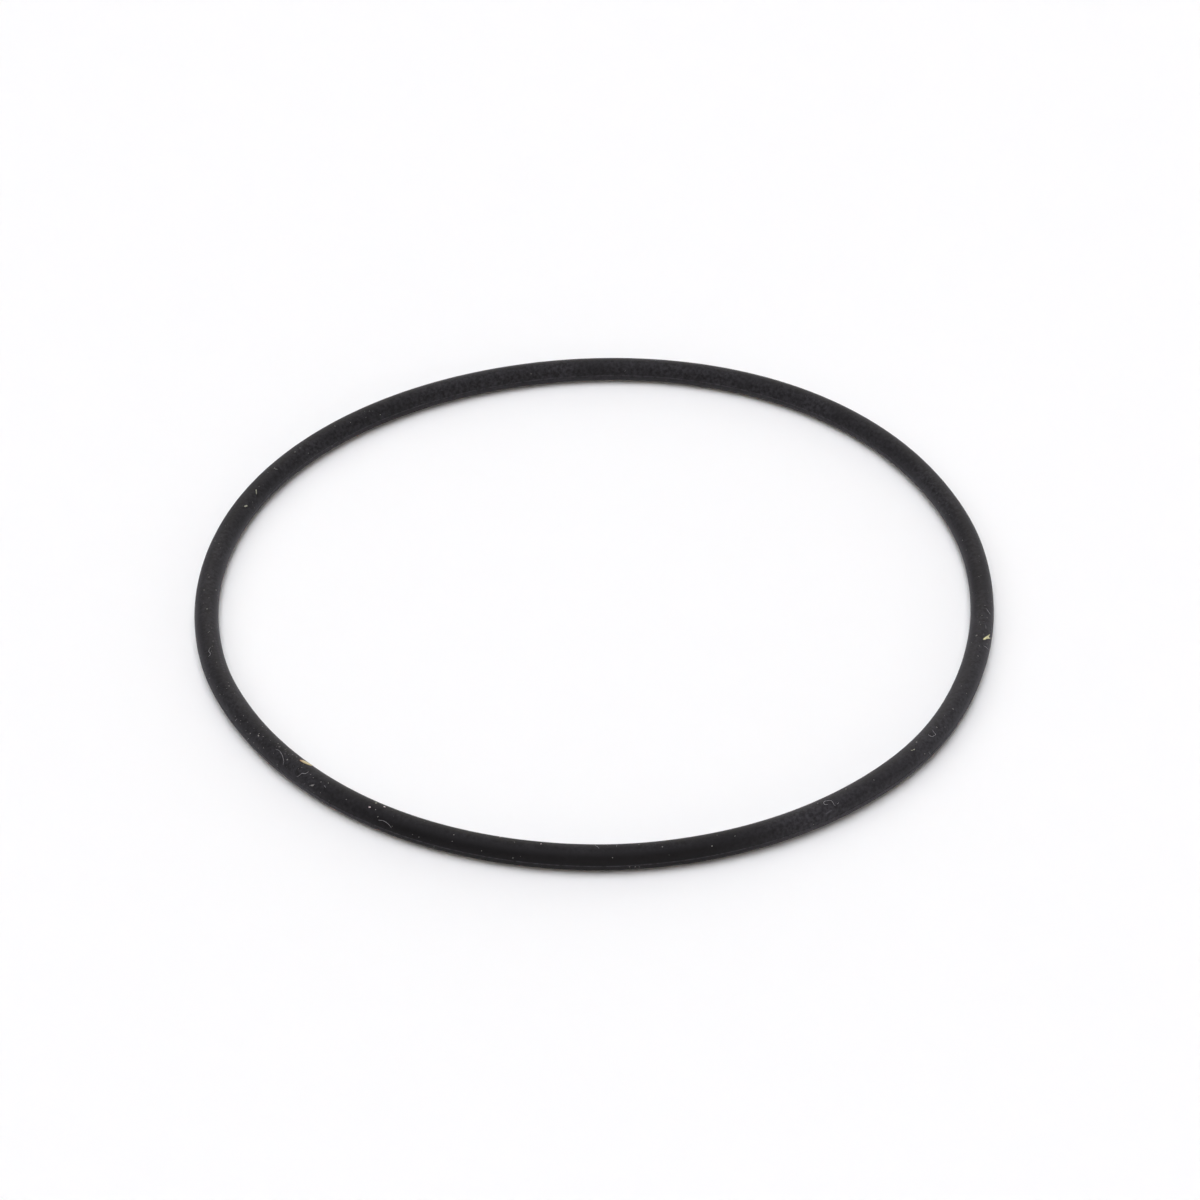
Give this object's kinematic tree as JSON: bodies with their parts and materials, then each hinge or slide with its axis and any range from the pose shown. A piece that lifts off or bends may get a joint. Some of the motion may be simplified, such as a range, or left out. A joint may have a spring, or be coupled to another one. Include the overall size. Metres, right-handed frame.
{
  "type": "rubber o-ring",
  "caption": "Black rubber O-ring with a round section and a fine mould parting line round its inside and outside, lying flat.",
  "frame": {"origin": "on the ring's axis, in the plane that the ring lies on", "axes": "+Z along the ring's axis, away from the surface it lies on; the ring is round, so X and Y are any two square directions in its plane"},
  "size_m": [0.0876, 0.0876, 0.0026],
  "materials": {
    "nitrile_rubber": "matte moulded, with dust and lint"
  },
  "bodies": {
    "root": {"o_ring": "nitrile_rubber"}
  },
  "joints": []
}
